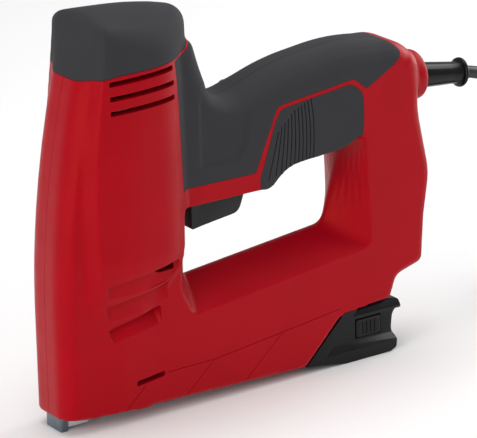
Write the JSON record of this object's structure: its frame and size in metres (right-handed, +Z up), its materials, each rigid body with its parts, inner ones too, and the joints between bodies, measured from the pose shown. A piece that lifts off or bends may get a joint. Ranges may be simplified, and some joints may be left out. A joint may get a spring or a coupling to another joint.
{
  "type": "electric staple gun",
  "caption": "Corded electric staple gun with a D handle: a solenoid drives a blade behind a steel nose, and a slide-out magazine under the handle feeds the staples.",
  "frame": {"origin": "middle of the contact edge of the steel nose plate, where a staple comes out, on the surface that the tool stands on", "axes": "+X runs back along the magazine towards the cord, +Z up along the driver blade, +Y completes the frame, and the two housing halves part on Y = 0"},
  "size_m": [0.4076, 0.0585, 0.189],
  "materials": {
    "red_housing": "fine-grained satin moulded plastic",
    "soft_grip": "matt fine-textured soft grip",
    "trigger_black": "satin moulded plastic",
    "gloss_black": "glossy moulded plastic",
    "cord_black": "smooth satin cable sheath",
    "bright_steel": "brushed bright steel",
    "dark_steel": "blackened steel",
    "copper": "enamelled copper wire",
    "plug_brass": "polished",
    "nylon": "natural nylon",
    "board_green": "lacquered board"
  },
  "bodies": {
    "root": {"bottom_buffer": "soft_grip", "capacitor": "trigger_black", "circuit_board": "board_green", "clamp_screw_left": "bright_steel", "clamp_screw_right": "bright_steel", "coil_bobbin": "nylon", "coil_lead_left": "cord_black", "coil_lead_right": "cord_black", "cord_clamp": "trigger_black", "cord_hank": "cord_black", "cord_tail": "cord_black", "grip_top_left": "soft_grip", "grip_top_right": "soft_grip", "hank_tie": "cord_black", "head_cap": "soft_grip", "housing_left": "red_housing", "housing_right": "red_housing", "housing_screw_1": "dark_steel", "housing_screw_2": "dark_steel", "housing_screw_3": "dark_steel", "housing_screw_4": "dark_steel", "housing_screw_5": "dark_steel", "housing_screw_6": "dark_steel", "housing_screw_7": "dark_steel", "housing_screw_8": "dark_steel", "inner_cord": "cord_black", "magazine_channel": "bright_steel", "nose_block": "dark_steel", "nose_plate": "bright_steel", "palm_grip_left": "soft_grip", "palm_grip_right": "soft_grip", "plug_body": "cord_black", "plug_pin_left": "plug_brass", "plug_pin_right": "plug_brass", "power_cord": "cord_black", "power_thyristor": "trigger_black", "return_spring": "bright_steel", "solenoid_winding": "copper", "solenoid_yoke": "dark_steel", "strain_relief": "gloss_black", "terminal_block": "nylon", "top_buffer": "soft_grip", "trigger_pin": "bright_steel", "trigger_spring": "bright_steel", "trigger_switch": "trigger_black"},
    "trigger": {"trigger": "trigger_black"},
    "switch_plunger": {"switch_plunger": "nylon"},
    "driver": {"solenoid_plunger": "bright_steel", "driver_carrier": "dark_steel", "driver_blade": "bright_steel"},
    "magazine_slide": {"magazine_slide": "gloss_black", "staple_rail": "bright_steel", "pusher_rod": "dark_steel", "pusher_spring": "bright_steel"},
    "staple_pusher": {"staple_pusher": "bright_steel"},
    "slide_latch_left": {"slide_latch_left": "gloss_black"},
    "slide_latch_right": {"slide_latch_right": "gloss_black"}
  },
  "joints": [
    {"name": "trigger_pull", "type": "hinge", "parent": "root", "child": "trigger", "pos_m": [0.099, 0, 0.099], "axis": [0, 1, 0], "range_deg": [0, 7], "stiffness_Nm_per_rad": 1.2, "springref_deg": -8.59, "deforming": ["trigger_spring"]},
    {"name": "switch_press", "type": "slide", "parent": "root", "child": "switch_plunger", "axis": [0, 0, 1], "range_m": [0, 0.0036]},
    {"name": "driver_stroke", "type": "slide", "parent": "root", "child": "driver", "axis": [0, 0, -1], "range_m": [0, 0.016], "stiffness_N_per_m": 400, "springref_m": -0.02, "deforming": ["return_spring"]},
    {"name": "magazine_pull", "type": "slide", "parent": "root", "child": "magazine_slide", "axis": [1, 0, 0], "range_m": [0, 0.09]},
    {"name": "pusher_travel", "type": "slide", "parent": "magazine_slide", "child": "staple_pusher", "axis": [1, 0, 0], "range_m": [0, 0.085], "stiffness_N_per_m": 40, "springref_m": -0.06, "deforming": ["pusher_spring"]},
    {"name": "latch_press_left", "type": "slide", "parent": "magazine_slide", "child": "slide_latch_left", "axis": [0, 1, 0], "range_m": [0, 0.0018], "stiffness_N_per_m": 600, "springref_m": -0.001},
    {"name": "latch_press_right", "type": "slide", "parent": "magazine_slide", "child": "slide_latch_right", "axis": [0, -1, 0], "range_m": [0, 0.0018], "stiffness_N_per_m": 600, "springref_m": -0.001}
  ],
  "couplings": [
    {"joint": "switch_press", "follows": "trigger_pull", "m_per_rad": 0.0265}
  ]
}
